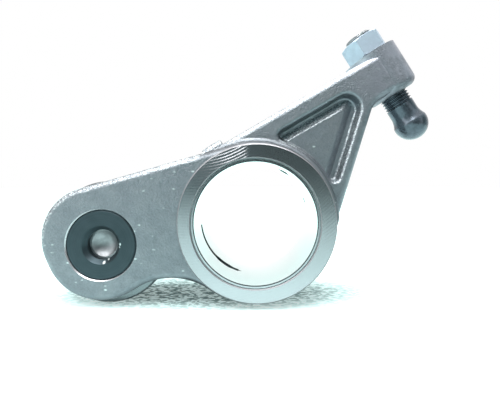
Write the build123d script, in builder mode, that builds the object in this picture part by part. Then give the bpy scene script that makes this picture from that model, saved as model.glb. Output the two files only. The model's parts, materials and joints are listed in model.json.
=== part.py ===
"""Roller rocker arm of a large diesel engine.

Frame: X towards the valve, Y along the rocker shaft, Z up, origin at the middle of the shaft bore.
Sizes are in millimetres and angles in degrees. The forging's outlines are given at its parting plane,
Y = 0, and its sides draw in from there by the draft angle.
"""

import os
from math import acos, atan2, cos, degrees, hypot, radians, sin, tan

from build123d import *

os.makedirs("parts", exist_ok=True)

# Shaft bearing: a thin bush pressed into the hub
shaft_bore_dia = 56.0
bush_wall = 1.55
bush_setback = 0.5
bush_chamfer = 0.4
hub_width = 48.0
hub_ring_dia = 72.6
hub_ring_offset = 0.6
hub_edge_chamfer = 0.6
hub_bore_chamfer = 0.4
hub_core_dia = 78.4

# Oil supply through the bush
oil_hole_dia = 4.5
oil_hole_angle = 19.5
oil_hole_offset = 12.0
oil_groove_width = 4.0
oil_groove_depth = 0.9
oil_groove_cutter_dia = 48.8
oil_groove_angle = 219.0

# Forging
draft_angle = 5.0
forged_round = 3.0
hub_flare_round = 2.0
flare_bite = 0.05
fork_width = 44.0
arm_width = 27.4

# Fork that carries the roller
pin_x = -70.5
pin_z = -10.0
lobe_radius = 27.9
lobe_reach = 0.7
lobe_rise = 0.6
heel_radius = 25.5
heel_reach = 4.3
heel_rise = 2.8
arch_radius = 29.3

# Roller, its floating bush and the pin
pin_dia = 32.0
pin_setback = 0.2
pin_chamfer = 0.6
pin_hole_chamfer = 0.5
pin_bore_dia = 9.0
plug_dia = 13.9
plug_depth = 4.8
plug_length = 4.0
plug_wall = 0.9
plug_dish = 2.2
pin_mouth_dia = 17.6
pin_mouth_angle = 40.0
running_clearance = 0.03
roller_bush_wall = 3.0
roller_bush_end_gap = 0.3
roller_dia = 58.4
roller_width = 24.0
roller_side_gap = 0.25
roller_edge = 0.8
slot_root_gap = 1.5

# Arm, from the hub up to the screw boss
arm_top_slope = 30.2
arm_top_reach = 41.1
arm_back_slope = 72.7
arm_back_reach = 38.5
arm_back_fillet = 9.0
locating_pad_reach = 43.4
locating_pad_width = 18.0
locating_pad_start = 114.0
locating_pad_end = 128.0

# Triangular lightening pocket with a raised pad in the middle, on both sides of the arm
pocket_depth = 6.0
pocket_draft = 10.0
pocket_top_rim = 9.3
pocket_back_rim = 6.0
pocket_hub_reach = 40.6
pocket_corner = 3.0
pocket_apex = 7.0
pocket_rim_round = 1.5
rim_clear = 1.0
pocket_floor_round = 1.2
pad_height = 3.0
pad_corner = 1.2
pad_foot_apex = 2.4
pad_round = 1.0
pad_foot_round = 0.8
pad_top_groove = 1.9
pad_top_slope = 3.2
pad_back_groove = 2.9
pad_back_slope = 3.3

# Screw boss: its nut seat lies out along the arm's top edge, a little above it and a little steeper
screw_reach = 92.3
seat_rise = 1.35
seat_tilt = 1.8
boss_height = 23.4
boss_setback = 0.35
boss_edge = 0.6
boss_foot = 0.8
boss_foot_round = 4.2
screw_hole_sink = 0.6

# Adjusting screw, M14 x 1.5
thread_dia = 14.0
thread_clearance = 0.05
screw_above_seat = 11.9
screw_top_chamfer = 0.9
screw_slot_width = 2.0
screw_slot_depth = 2.6
thread_below_seat = 28.6
thread_end_chamfer = 0.7
neck_dia = 13.4
neck_waist_dia = 12.8
ball_dia = 16.8
ball_below_seat = 40.3

# Lock nut
nut_across_flats = 19.0
nut_height = 9.8
nut_corner_angle = 30.0
nut_face_dia = 18.6
nut_bore_chamfer = 0.6


def polar(radius, angle, centre=(0.0, 0.0)):
    """Point of the side view at a radius and angle from a centre."""
    return (centre[0] + radius * cos(radians(angle)), centre[1] + radius * sin(radians(angle)))


def side_direction(angle):
    """Unit vector in the side view at an angle from X."""
    return (cos(radians(angle)), 0, sin(radians(angle)))


def bearing(start, end):
    """Angle of the line from one point of the side view to another."""
    return degrees(atan2(end[1] - start[1], end[0] - start[0]))


def belt_normal(centre_a, radius_a, centre_b, radius_b, side):
    """Angle at which a straight line touches two circles on their outside, on the side +1 or -1."""
    apart = hypot(centre_b[0] - centre_a[0], centre_b[1] - centre_a[1])
    return (bearing(centre_a, centre_b) + side * degrees(acos((radius_a - radius_b) / apart))) % 360


def crossing(reach_a, normal_a, reach_b, normal_b):
    """Point where two lines cross, each given by its distance from the origin and its normal's angle."""
    swing = sin(radians(normal_b - normal_a))
    x = (reach_a * sin(radians(normal_b)) - reach_b * sin(radians(normal_a))) / swing
    z = (reach_b * cos(radians(normal_a)) - reach_a * cos(radians(normal_b))) / swing
    return (x, z)


def on_circle(radius, reach, normal, side):
    """Point where such a line crosses a circle about the origin."""
    return polar(radius, normal + side * degrees(acos(reach / radius)))


edge_slack = 0.01
hub_centre = (0.0, 0.0)
pin_centre = (pin_x, pin_z)
lobe_centre = (pin_x - lobe_reach, pin_z + lobe_rise)
heel_centre = (pin_x - heel_reach, pin_z + heel_rise)
hub_core_radius = hub_core_dia / 2
bush_outer_dia = shaft_bore_dia + 2 * bush_wall
slot_width = roller_width + 2 * roller_side_gap
slot_root_radius = roller_dia / 2 + slot_root_gap
roller_bush_inner_dia = pin_dia + 2 * running_clearance
roller_bush_outer_dia = roller_bush_inner_dia + 2 * roller_bush_wall
roller_bore_dia = roller_bush_outer_dia + 2 * running_clearance
screw_hole_dia = thread_dia + 2 * thread_clearance

# Normals of the arm's straight edges
arm_top_normal = arm_top_slope + 90
arm_back_normal = arm_back_slope - 90

# The screw leans with the arm, and its axis crosses the nut seat at the seat's centre
screw_lean = arm_top_slope + seat_tilt
seat_foot = polar(arm_top_reach + seat_rise, arm_top_normal)
seat_x, seat_z = polar(screw_reach, arm_top_slope, seat_foot)

# Local X of the screw's planes runs across it, away from the hub
screw_across = Vector(cos(radians(screw_lean)), 0, sin(radians(screw_lean)))
screw_along = Vector(-sin(radians(screw_lean)), 0, cos(radians(screw_lean)))
seat_centre = Vector(seat_x, 0, seat_z)
screw_section = Plane(origin=seat_centre, x_dir=screw_across, z_dir=(0, -1, 0))
screw_middle = Plane(
    origin=seat_centre - screw_along * (boss_height / 2),
    x_dir=screw_across,
    z_dir=(0, -1, 0),
)
nut_seat = Plane(origin=seat_centre, x_dir=screw_across, z_dir=screw_along)
screw_axis = Axis(seat_centre, screw_along)

# Local X of the pin's section runs out from its axis, local Y along it
pin_section = Plane(origin=(pin_x, 0, pin_z), x_dir=(1, 0, 0), z_dir=(0, 0, 1))
pin_axis = Axis((pin_x, 0, pin_z), (0, 1, 0))


def drawn_in(depth):
    """How far the forging's sides have drawn in at a distance from the parting plane."""
    return depth * tan(radians(draft_angle))


def fork_outline(depth):
    """Side view of the fork and hub: circles joined by tangents on top and an arch underneath."""
    hub_radius = hub_core_radius - drawn_in(depth)
    heel = heel_radius - drawn_in(depth)
    lobe = lobe_radius - drawn_in(depth)
    arch = arch_radius + drawn_in(depth)
    top_normal = belt_normal(hub_centre, hub_radius, heel_centre, heel, -1)
    front_normal = belt_normal(heel_centre, heel, lobe_centre, lobe, -1)
    # The arch touches the lobe and the hub from below
    from_lobe = lobe + arch
    from_hub = hub_radius + arch
    apart = hypot(*lobe_centre)
    at_lobe = degrees(acos((from_lobe**2 + apart**2 - from_hub**2) / (2 * from_lobe * apart)))
    arch_centre = polar(from_lobe, bearing(lobe_centre, hub_centre) - at_lobe, lobe_centre)
    lobe_end = bearing(lobe_centre, arch_centre) + 360
    hub_start = bearing(hub_centre, arch_centre)
    with BuildSketch(Plane.XZ.offset(depth)) as fork:
        with BuildLine():
            Line(polar(hub_radius, top_normal), polar(heel, top_normal, heel_centre))
            CenterArc(heel_centre, heel, top_normal, front_normal - top_normal)
            Line(polar(heel, front_normal, heel_centre), polar(lobe, front_normal, lobe_centre))
            CenterArc(lobe_centre, lobe, front_normal, lobe_end - front_normal)
            CenterArc(arch_centre, arch, lobe_end - 180, hub_start + 360 - lobe_end)
            CenterArc(hub_centre, hub_radius, hub_start, top_normal - hub_start)
        make_face()
    return fork.sketch


def arm_outline(depth):
    """Side view of the arm, from the middle of the hub to the screw's axis."""
    top_reach = arm_top_reach - drawn_in(depth)
    back_reach = arm_back_reach - drawn_in(depth)
    foot_normal = screw_lean - 90
    foot_reach = boss_height - boss_foot - drawn_in(depth)
    foot_reach += seat_x * sin(radians(screw_lean)) - seat_z * cos(radians(screw_lean))
    boss_reach = seat_x * cos(radians(screw_lean)) + seat_z * sin(radians(screw_lean)) - boss_setback
    top_end = crossing(top_reach, arm_top_normal, boss_reach, screw_lean)
    foot_end = crossing(foot_reach, foot_normal, boss_reach, screw_lean)
    armpit = crossing(foot_reach, foot_normal, back_reach, arm_back_normal)
    top_foot = polar(top_reach, arm_top_normal)
    back_foot = polar(back_reach, arm_back_normal)
    with BuildSketch(Plane.XZ.offset(depth)) as arm:
        with BuildLine():
            Polyline(hub_centre, top_foot, top_end, foot_end, armpit, back_foot, close=True)
        make_face()
        armpit_corner = arm.vertices().sort_by_distance(Vector(*armpit))[0]
        fillet(armpit_corner, arm_back_fillet + drawn_in(depth))
    return arm.sketch


def pocket_outline(depth, top_inset, back_inset, hub_reach, apex, corner):
    """Triangle with its long sides parallel to the arm's edges and an arc along the hub."""
    top_reach = arm_top_reach - pocket_top_rim - top_inset
    back_reach = arm_back_reach - pocket_back_rim - back_inset
    high = crossing(top_reach, arm_top_normal, back_reach, arm_back_normal)
    left = on_circle(hub_reach, top_reach, arm_top_normal, -1)
    low = on_circle(hub_reach, back_reach, arm_back_normal, 1)
    start = bearing(hub_centre, low)
    with BuildSketch(Plane.XZ.offset(arm_width / 2 - depth)) as pocket:
        with BuildLine():
            Polyline(left, high, low)
            CenterArc(hub_centre, hub_reach, start, bearing(hub_centre, left) - start)
        make_face()
        fillet(pocket.vertices().sort_by(Axis.Y)[-1], apex)
        fillet(pocket.vertices().sort_by(Axis.Y)[:2], corner)
    return pocket.sketch


def bore_half(radius, half_length, sink):
    """Half section of a bore from its middle to one end, which is opened out by a chamfer."""
    with BuildSketch() as half:
        with BuildLine():
            Polyline(
                (0, 0),
                (radius, 0),
                (radius, half_length - sink),
                (radius + sink, half_length),
                (0, half_length),
                close=True,
            )
        make_face()
    return half.sketch


def end_edges(piece):
    """Edges of the flat faces at a piece's two ends along Y."""
    ends = piece.faces().filter_by(Axis.Y).sort_by(Axis.Y)
    return ends[0].edges() + ends[-1].edges()


def ring_edges(piece, radius, centre=(0.0, 0.0)):
    """Circular edges of a given radius about an axis along Y."""
    circles = piece.edges().filter_by(GeomType.CIRCLE)
    return circles.filter_by(
        lambda edge: abs(edge.radius - radius) < edge_slack
        and hypot(edge.arc_center.X - centre[0], edge.arc_center.Z - centre[1]) < edge_slack
    )


def edges_inside(piece, depth, top_rim, back_rim, hub_reach):
    """Edges in a plane along the arm's side, inside limits from its top edge, back edge and hub."""
    found = ShapeList()
    for edge in piece.edges():
        middle = edge @ 0.5
        top_gap = arm_top_reach - middle.dot(Vector(*side_direction(arm_top_normal)))
        back_gap = arm_back_reach - middle.dot(Vector(*side_direction(arm_back_normal)))
        in_plane = all(abs(abs((edge @ place).Y) - depth) < edge_slack for place in (0, 0.5, 1))
        clear_of_edges = top_gap > top_rim - edge_slack and back_gap > back_rim - edge_slack
        if in_plane and clear_of_edges and hypot(middle.X, middle.Z) > hub_reach - edge_slack:
            found.append(edge)
    return found


# ---- Rocker arm: one forging -------------------------------------------------------------------

# The beam from the hub to the screw boss
with BuildPart() as arm_beam:
    loft([arm_outline(0), arm_outline(arm_width / 2)])
    mirror(about=Plane.XZ)
    fillet(end_edges(arm_beam).filter_by(lambda edge: (edge @ 0.5).Z > forged_round), forged_round)

# Flare from the hub's sides down to the beam's faces, let a little way into both
with BuildPart() as hub_flare:
    flare_start = hub_core_radius - drawn_in(arm_width / 2) - flare_bite
    flare_end = flare_start + hub_flare_round
    flare_low = arm_width / 2 - flare_bite
    flare_high = flare_low + hub_flare_round
    with BuildSketch(Plane.XY):
        with BuildLine():
            RadiusArc((flare_end, -flare_low), (flare_start, -flare_high), hub_flare_round)
            Polyline(
                (flare_start, -flare_high),
                (flare_start - hub_flare_round, -flare_high),
                (flare_start - hub_flare_round, 0),
                (flare_end, 0),
                (flare_end, -flare_low),
            )
        make_face()
    revolve(axis=Axis.Y)
    # Only over the beam
    extrude(arm_outline(flare_low - hub_flare_round), amount=hub_width / 2, mode=Mode.INTERSECT)
    mirror(about=Plane.XZ)

# What the lightening pocket takes away on one side: its hollow less the raised pad
with BuildPart() as pocket_hollow:
    rim_draw = -rim_clear * tan(radians(pocket_draft))
    floor_draw = pocket_depth * tan(radians(pocket_draft))
    loft([
        pocket_outline(
            -rim_clear, rim_draw, rim_draw, pocket_hub_reach + rim_draw, pocket_apex, pocket_corner
        ),
        pocket_outline(
            pocket_depth,
            floor_draw,
            floor_draw,
            pocket_hub_reach + floor_draw,
            pocket_apex - floor_draw,
            pocket_corner - floor_draw,
        ),
    ])
    fillet(pocket_hollow.faces().filter_by(Axis.Y).sort_by(Axis.Y)[-1].edges(), pocket_floor_round)
    foot_top = floor_draw + pad_top_groove
    foot_back = floor_draw + pad_back_groove
    loft(
        [
            pocket_outline(
                pocket_depth, foot_top, foot_back, pocket_hub_reach, pad_foot_apex, pad_corner
            ),
            pocket_outline(
                pocket_depth - pad_height,
                foot_top + pad_top_slope,
                foot_back + pad_back_slope,
                pocket_hub_reach,
                pad_corner,
                pad_corner,
            ),
        ],
        mode=Mode.SUBTRACT,
    )
    floor_level = arm_width / 2 - pocket_depth
    pad_level = floor_level + pad_height
    fillet(edges_inside(pocket_hollow, pad_level, 0, 0, pocket_hub_reach + pad_height), pad_round)
    pad_foot = edges_inside(
        pocket_hollow, floor_level, pocket_top_rim + foot_top, pocket_back_rim + foot_back, 0
    )
    fillet(pad_foot, pad_foot_round)

with BuildPart() as screw_boss:
    # As wide as the beam, so that the beam's faces run out on it
    boss_centre = seat_centre - screw_across * boss_setback
    boss_section = Plane(origin=boss_centre, x_dir=screw_across, z_dir=(0, -1, 0))
    with BuildSketch(boss_section) as boss_half:
        with Locations((arm_width / 4, -boss_height / 2)):
            Rectangle(arm_width / 2, boss_height)
        outside = boss_half.vertices().group_by(Axis.X)[-1].sort_by(Axis.Y)
        fillet(outside[0], boss_foot_round)
        chamfer(outside[-1], boss_edge)
    revolve(axis=Axis(boss_centre, screw_along))

with BuildPart() as locating_pad:
    with BuildSketch(Plane.XZ):
        with BuildLine():
            pad_arc = CenterArc(
                hub_centre,
                locating_pad_reach,
                locating_pad_start,
                locating_pad_end - locating_pad_start,
            )
            Polyline(pad_arc @ 0, hub_centre, pad_arc @ 1)
        make_face()
    extrude(amount=locating_pad_width / 2, both=True)
    fillet(ring_edges(locating_pad, locating_pad_reach), forged_round)

# Machined bores for the shaft bush, the pin and the screw
with BuildPart() as bores:
    with BuildSketch(Plane.XY):
        add(bore_half(bush_outer_dia / 2, hub_width / 2, hub_bore_chamfer))
    revolve(axis=Axis.Y)
    with BuildSketch(pin_section):
        add(bore_half(pin_dia / 2, fork_width / 2, pin_hole_chamfer))
    revolve(axis=pin_axis)
    mirror(about=Plane.XZ)
    with BuildSketch(screw_middle):
        add(bore_half(screw_hole_dia / 2, boss_height / 2, screw_hole_sink))
    revolve(axis=screw_axis)
    with BuildSketch(screw_middle):
        add(mirror(bore_half(screw_hole_dia / 2, boss_height / 2, screw_hole_sink), about=Plane.XZ))
    revolve(axis=screw_axis)

# Machined faces of the hub
with BuildPart() as hub_barrel:
    with BuildSketch(Plane.XZ):
        with Locations((hub_ring_offset, 0)):
            Circle(hub_ring_dia / 2)
    extrude(amount=hub_width / 2, both=True)
    chamfer(end_edges(hub_barrel), hub_edge_chamfer)

with BuildPart() as rocker_arm:
    loft([fork_outline(0), fork_outline(fork_width / 2)])
    mirror(about=Plane.XZ)
    fillet(end_edges(rocker_arm), forged_round)
    add(arm_beam.part)
    add(hub_flare.part)
    add(locating_pad.part)
    add(screw_boss.part)
    add(hub_barrel.part)
    add(pocket_hollow.part, mode=Mode.SUBTRACT)
    add(mirror(pocket_hollow.part, about=Plane.XZ, mode=Mode.PRIVATE), mode=Mode.SUBTRACT)
    pocket_rim = edges_inside(
        rocker_arm, arm_width / 2, pocket_top_rim, pocket_back_rim, pocket_hub_reach
    )
    fillet(pocket_rim, pocket_rim_round)
    # Slot for the roller, open at the front of the fork
    with BuildSketch(Plane.XZ):
        with Locations(pin_centre):
            Circle(slot_root_radius)
        with Locations((pin_x - slot_root_radius, pin_z)):
            Rectangle(2 * slot_root_radius, 2 * slot_root_radius)
    extrude(amount=slot_width / 2, both=True, mode=Mode.SUBTRACT)
    add(bores.part, mode=Mode.SUBTRACT)

# ---- Shaft bush --------------------------------------------------------------------------------

with BuildPart() as shaft_bush:
    with BuildSketch(Plane.XZ):
        Circle(bush_outer_dia / 2)
        Circle(shaft_bore_dia / 2, mode=Mode.SUBTRACT)
    extrude(amount=hub_width / 2 - bush_setback, both=True)
    chamfer(end_edges(shaft_bush), bush_chamfer)
    # Sickle-shaped oil groove, cut by a disc smaller than the bore
    groove_centre = polar((shaft_bore_dia - oil_groove_cutter_dia) / 2 + oil_groove_depth, oil_groove_angle)
    with BuildSketch(Plane.XZ):
        with Locations(groove_centre):
            Circle(oil_groove_cutter_dia / 2)
    extrude(amount=oil_groove_width / 2, both=True, mode=Mode.SUBTRACT)
    # Oil hole
    oil_way = Vector(cos(radians(oil_hole_angle)), 0, sin(radians(oil_hole_angle)))
    with BuildSketch(Plane(origin=(0, oil_hole_offset, 0), z_dir=oil_way)):
        Circle(oil_hole_dia / 2)
    extrude(amount=bush_outer_dia, mode=Mode.SUBTRACT)

# ---- Roller, floating bush, pin and plugs ------------------------------------------------------

half_pin = fork_width / 2 - pin_setback
plug_face = half_pin - plug_depth
plug_seat = plug_face - plug_length
pin_radius = pin_dia / 2
mouth_depth = (pin_mouth_dia - plug_dia) / 2 / tan(radians(pin_mouth_angle))
dish_rim = plug_dia / 2 - plug_wall
dish_radius = (dish_rim**2 + plug_dish**2) / (2 * plug_dish)

with BuildPart() as roller_pin:
    with BuildSketch(pin_section):
        with BuildLine():
            Polyline(
                (pin_bore_dia / 2, 0),
                (pin_radius, 0),
                (pin_radius, half_pin - pin_chamfer),
                (pin_radius - pin_chamfer, half_pin),
                (pin_mouth_dia / 2, half_pin),
                (plug_dia / 2, half_pin - mouth_depth),
                (plug_dia / 2, plug_seat),
                (pin_bore_dia / 2, plug_seat),
                close=True,
            )
        make_face()
    revolve(axis=pin_axis)
    mirror(about=Plane.XZ)

# Dished cup plug, its dish facing out of the pin
with BuildPart() as pin_plug_rear:
    with BuildSketch(pin_section):
        with Locations((plug_dia / 4, plug_face - plug_length / 2)):
            Rectangle(plug_dia / 2, plug_length)
    revolve(axis=pin_axis)
    with Locations((pin_x, plug_face - plug_dish + dish_radius, pin_z)):
        Sphere(dish_radius, mode=Mode.SUBTRACT)

with BuildPart() as pin_plug_front:
    mirror(pin_plug_rear.part, about=Plane.XZ)

with BuildPart() as roller_bush:
    with BuildSketch(Plane.XZ):
        with Locations(pin_centre):
            Circle(roller_bush_outer_dia / 2)
            Circle(roller_bush_inner_dia / 2, mode=Mode.SUBTRACT)
    extrude(amount=roller_width / 2 - roller_bush_end_gap, both=True)

with BuildPart() as cam_roller:
    with BuildSketch(Plane.XZ):
        with Locations(pin_centre):
            Circle(roller_dia / 2)
            Circle(roller_bore_dia / 2, mode=Mode.SUBTRACT)
    extrude(amount=roller_width / 2, both=True)
    chamfer(ring_edges(cam_roller, roller_dia / 2, pin_centre), roller_edge)

# ---- Adjusting screw and its lock nut ----------------------------------------------------------

thread_radius = thread_dia / 2
neck_radius = neck_dia / 2
waist_radius = neck_waist_dia / 2
ball_radius = ball_dia / 2
waist_along = (ball_radius**2 - waist_radius**2) ** 0.5 - ball_below_seat

with BuildPart() as adjusting_screw:
    with BuildSketch(screw_section):
        with BuildLine():
            Polyline(
                (0, -ball_below_seat - ball_radius),
                (0, screw_above_seat),
                (thread_radius - screw_top_chamfer, screw_above_seat),
                (thread_radius, screw_above_seat - screw_top_chamfer),
                (thread_radius, -thread_below_seat),
                (neck_radius, -thread_below_seat - thread_end_chamfer),
                (waist_radius, waist_along),
            )
            ThreePointArc(
                (waist_radius, waist_along),
                (ball_radius, -ball_below_seat),
                (0, -ball_below_seat - ball_radius),
            )
        make_face()
    revolve(axis=screw_axis)
    with BuildSketch(nut_seat.offset(screw_above_seat)):
        Rectangle(screw_slot_width, 2 * thread_dia)
    extrude(amount=-screw_slot_depth, mode=Mode.SUBTRACT)

nut_face_radius = nut_face_dia / 2
nut_corner_radius = nut_across_flats / 2 / cos(radians(30))
corner_drop = (nut_corner_radius - nut_face_radius) * tan(radians(nut_corner_angle))

with BuildPart() as lock_nut:
    with BuildSketch(nut_seat):
        RegularPolygon(nut_corner_radius, 6)
        Circle(screw_hole_dia / 2, mode=Mode.SUBTRACT)
    extrude(amount=nut_height)
    chamfer(lock_nut.edges().filter_by(GeomType.CIRCLE), nut_bore_chamfer)
    # Corners turned off at both faces
    with BuildSketch(screw_section):
        with BuildLine():
            Polyline(
                (0, 0),
                (nut_face_radius, 0),
                (nut_corner_radius, corner_drop),
                (nut_corner_radius, nut_height - corner_drop),
                (nut_face_radius, nut_height),
                (0, nut_height),
                close=True,
            )
        make_face()
    revolve(axis=screw_axis, mode=Mode.INTERSECT)

# ---- Files -------------------------------------------------------------------------------------

pieces = {
    "rocker_arm": rocker_arm,
    "shaft_bush": shaft_bush,
    "roller_pin": roller_pin,
    "pin_plug_front": pin_plug_front,
    "pin_plug_rear": pin_plug_rear,
    "roller_bush": roller_bush,
    "cam_roller": cam_roller,
    "adjusting_screw": adjusting_screw,
    "lock_nut": lock_nut,
}
for name, piece in pieces.items():
    piece.part.label = name
    export_step(piece.part, f"parts/{name}.step")
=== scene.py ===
"""Roller rocker arm: finishes for its nine pieces, a threaded adjusting screw, and a studio.

It is laid out as a Blender add-on and run as a script. Lengths are in metres, in the part's own frame:
X towards the valve, Y along the rocker shaft, Z up, with the origin in the middle of the shaft bore.
"""

import json
from math import asin, atan2, cos, pi, radians, sin

import bpy
from bpy.props import FloatProperty, FloatVectorProperty, IntProperty, PointerProperty
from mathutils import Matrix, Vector


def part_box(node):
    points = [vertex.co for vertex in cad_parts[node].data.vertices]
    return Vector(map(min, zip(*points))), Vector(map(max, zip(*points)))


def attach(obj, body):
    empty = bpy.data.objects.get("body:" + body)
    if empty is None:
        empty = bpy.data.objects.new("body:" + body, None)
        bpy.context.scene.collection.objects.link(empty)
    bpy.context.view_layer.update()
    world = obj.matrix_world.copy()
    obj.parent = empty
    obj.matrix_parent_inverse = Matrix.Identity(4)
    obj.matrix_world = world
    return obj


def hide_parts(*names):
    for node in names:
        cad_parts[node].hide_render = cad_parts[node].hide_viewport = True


bl_info = {
    "name": "Roller rocker arm",
    "version": (1, 0, 0),
    "blender": (4, 5, 0),
    "location": "3D View > Sidebar > Rocker arm",
    "description": "Finishes, adjusting screw and studio of a forged roller rocker arm",
    "category": "Mesh",
}

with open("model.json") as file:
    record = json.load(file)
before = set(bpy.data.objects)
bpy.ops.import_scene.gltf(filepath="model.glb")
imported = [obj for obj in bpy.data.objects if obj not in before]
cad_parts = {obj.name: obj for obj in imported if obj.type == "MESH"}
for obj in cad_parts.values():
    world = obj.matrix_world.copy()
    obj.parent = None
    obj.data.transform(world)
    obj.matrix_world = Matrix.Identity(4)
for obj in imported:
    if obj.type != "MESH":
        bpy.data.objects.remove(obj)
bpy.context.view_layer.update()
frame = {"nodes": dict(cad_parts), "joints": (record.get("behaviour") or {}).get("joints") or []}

MM = 0.001
JOINTS = {joint["name"]: joint for joint in frame["joints"]}
PIN_CENTRE = Vector(JOINTS["cam_roller_spin"]["pos_m"])
NUT_SEAT = Vector(JOINTS["nut_turn"]["pos_m"])
SCREW_ALONG = Vector(JOINTS["nut_turn"]["axis"])
BOSS_MIDDLE = NUT_SEAT - 12 * MM * SCREW_ALONG
FLOOR_LEVEL = min(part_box("rocker_arm")[0].z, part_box("cam_roller")[0].z)

# Limits between the arm's forged skin and its machined faces
# A depth is a distance from the arm's middle plane
HUB_FACE_CENTRE = Vector((0.6 * MM, 0, 0))
HUB_FACE_RADIUS = 36.4 * MM
HUB_CHAMFER_RADIUS = 35.72 * MM
HUB_FACE_DEPTH = 22.1 * MM
BUSH_RIM_RADIUS = 30.0 * MM
ROLLER_SLOT_RADIUS = 30.75 * MM
ROLLER_SLOT_DEPTH = 12.3 * MM
NUT_SEAT_RADIUS = 15 * MM
NUT_SEAT_SLACK = 0.08 * MM
PIN_CHAMFER_RADIUS = 16.52 * MM
PIN_CHAMFER_DEPTH = 21.45 * MM

# Limits between the shaft bush's bore, groove, chamfers and end faces
BORE_LIMIT = 28.06 * MM
GROOVE_HALF_WIDTH = 2.1 * MM
BUSH_CHAMFER_RADIUS = 28.42 * MM
BUSH_CHAMFER_DEPTH = 23.05 * MM
BUSH_FACE_DEPTH = 23.45 * MM

# A Mix node's sockets share their names, so those for colours and for vectors go by number
MIX_A, MIX_B, MIXED = 6, 7, 2
VECTOR_A, VECTOR_B, VECTOR_MIXED = 4, 5, 1
WHITE = (1, 1, 1, 1)


def to_linear(code):
    """Linear red, green, blue and alpha of an sRGB hex colour."""
    channels = [int(code[place : place + 2], 16) / 255 for place in (1, 3, 5)]
    return [c / 12.92 if c <= 0.04045 else ((c + 0.055) / 1.055) ** 2.4 for c in channels] + [1.0]


def colour(name, description, code):
    """A colour that a user may change."""
    return FloatVectorProperty(
        name=name, description=description, default=to_linear(code), size=4, subtype="COLOR", min=0, max=1
    )


def length(name, description, size):
    """A length that a user may change, given here in millimetres."""
    return FloatProperty(
        name=name, description=description, default=size * MM, unit="LENGTH", precision=5
    )


def lamp_power(name, description, watts):
    """A lamp's power that a user may change."""
    return FloatProperty(name=name, description=description, default=watts, unit="POWER", min=0)


class RockerColours(bpy.types.PropertyGroup):
    """Colours of the rocker arm's finishes"""

    forging: colour("Forging", "Shot-blasted forged steel", "#8D9297")
    scale: colour("Heat scale", "Darker scale left in the forging's skin", "#7B8187")
    # Also the colour of the painted glints on the arm's edges and of the bright spots round the pin's
    # mouth
    nick: colour("Nicks", "Fresh metal in nicks and scuffs", "#EAF4F5")
    boss: colour("Screw boss", "Paler skin on the screw boss", "#B0B2BC")
    machined: colour("Machined faces", "Milled faces of the arm and the bush", "#B9B9BD")
    bush: colour("Bush", "Bored steel of the shaft bush", "#E6F8F6")
    # Painted into the groove's bottom, two patches of the bore and the bush's end chamfers, as painted
    # shade
    groove: colour("Oil groove", "Bottom of the bush's oil groove", "#3A4042")
    pin: colour("Pin", "Black oxide on the roller pin", "#434F54")
    plug: colour("Bare steel", "The pin's plugs and the screw's worn top", "#96999C")
    roller: colour("Roller", "Ground steel of the cam roller", "#7A8184")
    bronze: colour("Floating bush", "Bearing bronze", "#B98A4A")
    screw: colour("Adjusting screw", "Oiled black finish on the screw", "#586069")
    zinc: colour("Lock nut", "Bright zinc plating", "#B4C2CF")
    floor: colour("Floor", "Glow of the seamless pale floor", "#E6F7F5")
    room: colour("Room", "Dim side of the room, behind the camera", "#A4E6EC")
    paper: colour("Paper", "The floor's paper in the shade", "#B1CAC8")
    # Also tints the painted shadow round the part
    hollow: colour("Paper hollows", "Tint of the hollows in the paper's nap", "#E2FDFD")


class RockerSizes(bpy.types.PropertyGroup):
    """Sizes of the detail that the finishes and the adjusting screw add"""

    # Shot leaves dents of about half a millimetre; they are drawn a little coarser, so that they show
    shot_dent: length("Shot dents", "Width of the dents that shot blasting leaves", 0.8)
    skin_patch: length("Skin patches", "Width of the uneven patches in the forging's skin", 7.0)
    cutter_feed: length("Cutter marks", "Distance between the cutter's marks on the hub faces", 1.3)
    # Turned marks lie about 0.1 mm apart on such pieces; they are drawn coarser, so that they show
    turning_feed: length("Turning marks", "Distance between the turned marks on the small pieces", 0.35)
    screw_thread: length("Screw thread", "Diameter over the adjusting screw's thread", 13.9)
    screw_pitch: length("Thread pitch", "Pitch of the adjusting screw's thread", 1.5)
    screw_top: length("Screw top", "Top of the screw above the nut's seat", 11.9)
    screw_chamfer: length("Top chamfer", "Chamfer round the top of the screw", 0.9)
    thread_end: length("Thread end", "End of the thread below the nut's seat", 30.0)
    neck: length("Neck", "Diameter of the screw's neck under its thread", 13.8)
    neck_flare: length("Neck flare", "Length over which the neck widens to the ball", 4.8)
    shoulder: length("Ball shoulder", "Height above the ball's centre where the flare ends", 1.3)
    ball: length("Ball", "Diameter of the screw's ball end", 16.8)
    ball_drop: length("Ball centre", "Centre of the ball below the nut's seat", 40.3)
    slot_width: length("Slot width", "Width of the screwdriver slot", 2.0)
    slot_depth: length("Slot depth", "Depth of the screwdriver slot", 2.6)
    thread_facets: IntProperty(
        name="Thread facets", description="Flat faces round one turn of the thread", default=72, min=24
    )


class RockerStudio(bpy.types.PropertyGroup):
    """Camera and lamps"""

    distance: length("Camera distance", "From the camera to the middle of the hub", 186.0)
    height: length("Camera height", "Height of the camera above the shaft's axis", 18.3)
    lens: FloatProperty(
        name="Lens", description="Focal length on a 36 mm sensor", default=26.0, unit="CAMERA"
    )
    top_power: lamp_power("Overhead lamp", "Power of the lamp over the part", 6.5)
    front_power: lamp_power("Front lamp", "Power of the lamp over the camera", 0.6)
    left_power: lamp_power("Left lamp", "Power of the lamp at the left", 0.5)
    right_power: lamp_power("Right lamp", "Power of the lamp at the right", 0.15)


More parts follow.
